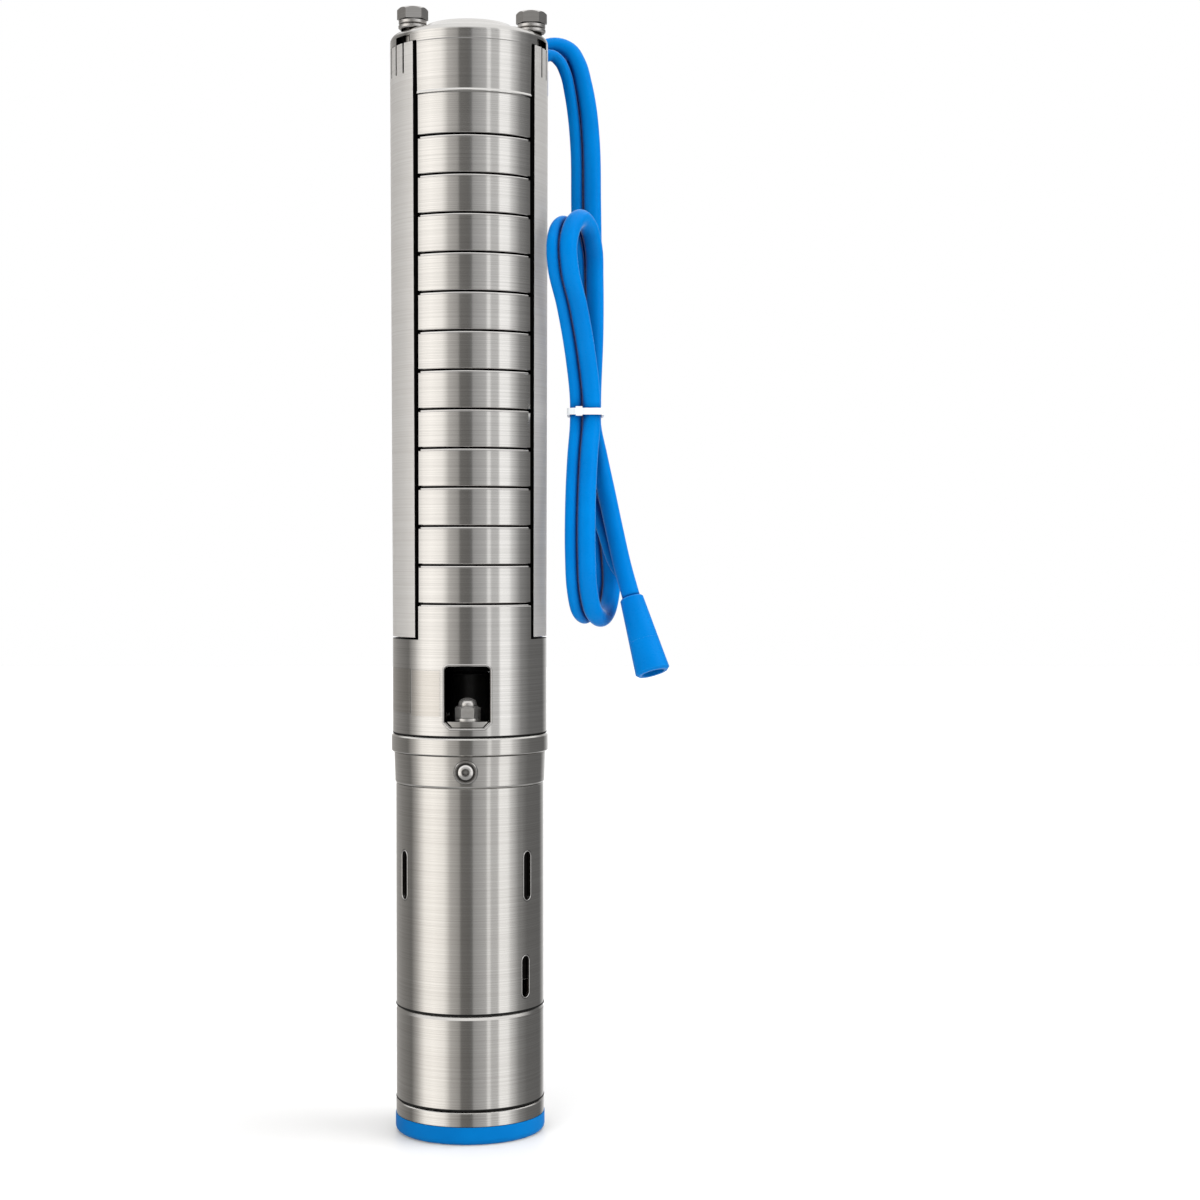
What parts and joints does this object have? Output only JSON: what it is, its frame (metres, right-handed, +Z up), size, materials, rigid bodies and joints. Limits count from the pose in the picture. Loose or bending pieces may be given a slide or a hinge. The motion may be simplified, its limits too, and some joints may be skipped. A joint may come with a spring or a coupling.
{
  "type": "borehole submersible pump",
  "caption": "Slender stainless borehole pump: slotted motor below, stacked stages with cable guards above, threaded outlet on top, blue base cap and a hanked blue cable with a connector.",
  "frame": {"origin": "middle of the flat base face, on the pump's axis", "axes": "+Z up along the axis towards the outlet, -Y towards the front with the filling plug, +X to the side where the cable hangs"},
  "size_m": [0.1787, 0.1031, 0.7152],
  "materials": {
    "brushed_stainless": "circumferentially brushed",
    "guard_stainless": "lengthwise brushed sheet",
    "bright_stainless": "bright turned",
    "satin_stainless": "satin pressed",
    "blue_plastic": "moulded satin",
    "blue_cable": "smooth sheath",
    "blue_boot": "moulded satin",
    "dark_boot": "moulded matte",
    "lead_sheath": "flat sheath",
    "black_rubber": "matte",
    "wear_plastic": "matte",
    "carbon_bearing": "lapped",
    "lamination_steel": "stacked sheet",
    "magnet": "plated",
    "copper_winding": "varnished wire",
    "white_nylon": "smooth"
  },
  "bodies": {
    "pump": {"base_cap": "blue_plastic", "bottom_ring": "brushed_stainless", "diaphragm": "black_rubber", "thrust_carrier": "carbon_bearing", "lower_housing": "brushed_stainless", "motor_bushes": "carbon_bearing", "motor_shell": "brushed_stainless", "stator_core": "lamination_steel", "stator_windings": "copper_winding", "upper_end_bell": "brushed_stainless", "shaft_seal": "black_rubber", "filling_plug": "bright_stainless", "plug_seat_ring": "bright_stainless", "motor_flange": "brushed_stainless", "motor_studs": "bright_stainless", "stud_nuts": "bright_stainless", "stud_washers": "satin_stainless", "suction_floor": "brushed_stainless", "suction_casing": "brushed_stainless", "stage_chamber_01": "brushed_stainless", "stage_chamber_02": "brushed_stainless", "stage_chamber_03": "brushed_stainless", "stage_chamber_04": "brushed_stainless", "stage_chamber_05": "brushed_stainless", "stage_chamber_06": "brushed_stainless", "stage_chamber_07": "brushed_stainless", "stage_chamber_08": "brushed_stainless", "stage_chamber_09": "brushed_stainless", "stage_chamber_10": "brushed_stainless", "stage_chamber_11": "brushed_stainless", "stage_chamber_12": "brushed_stainless", "stage_bearings": "black_rubber", "neck_rings": "wear_plastic", "outlet_diffuser": "satin_stainless", "discharge_casing": "brushed_stainless", "valve_seat": "satin_stainless", "valve_cage": "satin_stainless", "valve_spring": "bright_stainless", "tie_straps": "satin_stainless", "strap_nuts": "bright_stainless", "spring_washers": "satin_stainless", "flat_washers": "satin_stainless", "cable_guard_left": "guard_stainless", "cable_guard_right": "guard_stainless", "motor_lead": "lead_sheath", "cable_gland": "dark_boot", "power_cable": "blue_cable", "sensor_cable": "blue_cable", "cable_connector": "blue_boot", "cable_tie": "white_nylon"},
    "rotor": {"motor_shaft": "bright_stainless", "rotor_core": "lamination_steel", "rotor_magnets": "magnet", "thrust_disc": "bright_stainless", "sand_slinger": "black_rubber", "coupling": "bright_stainless", "pump_shaft": "bright_stainless", "bearing_sleeves": "bright_stainless", "impellers": "satin_stainless"},
    "valve": {"valve_cup": "satin_stainless"}
  },
  "joints": [
    {"name": "rotor_spin", "type": "hinge", "parent": "pump", "child": "rotor", "pos_m": [0, 0, 0.3], "axis": [0, 0, 1], "continuous": true},
    {"name": "valve_lift", "type": "slide", "parent": "pump", "child": "valve", "axis": [0, 0, 1], "range_m": [0, 0.01], "stiffness_N_per_m": 200, "springref_m": -0.01, "deforming": ["valve_spring"]}
  ]
}
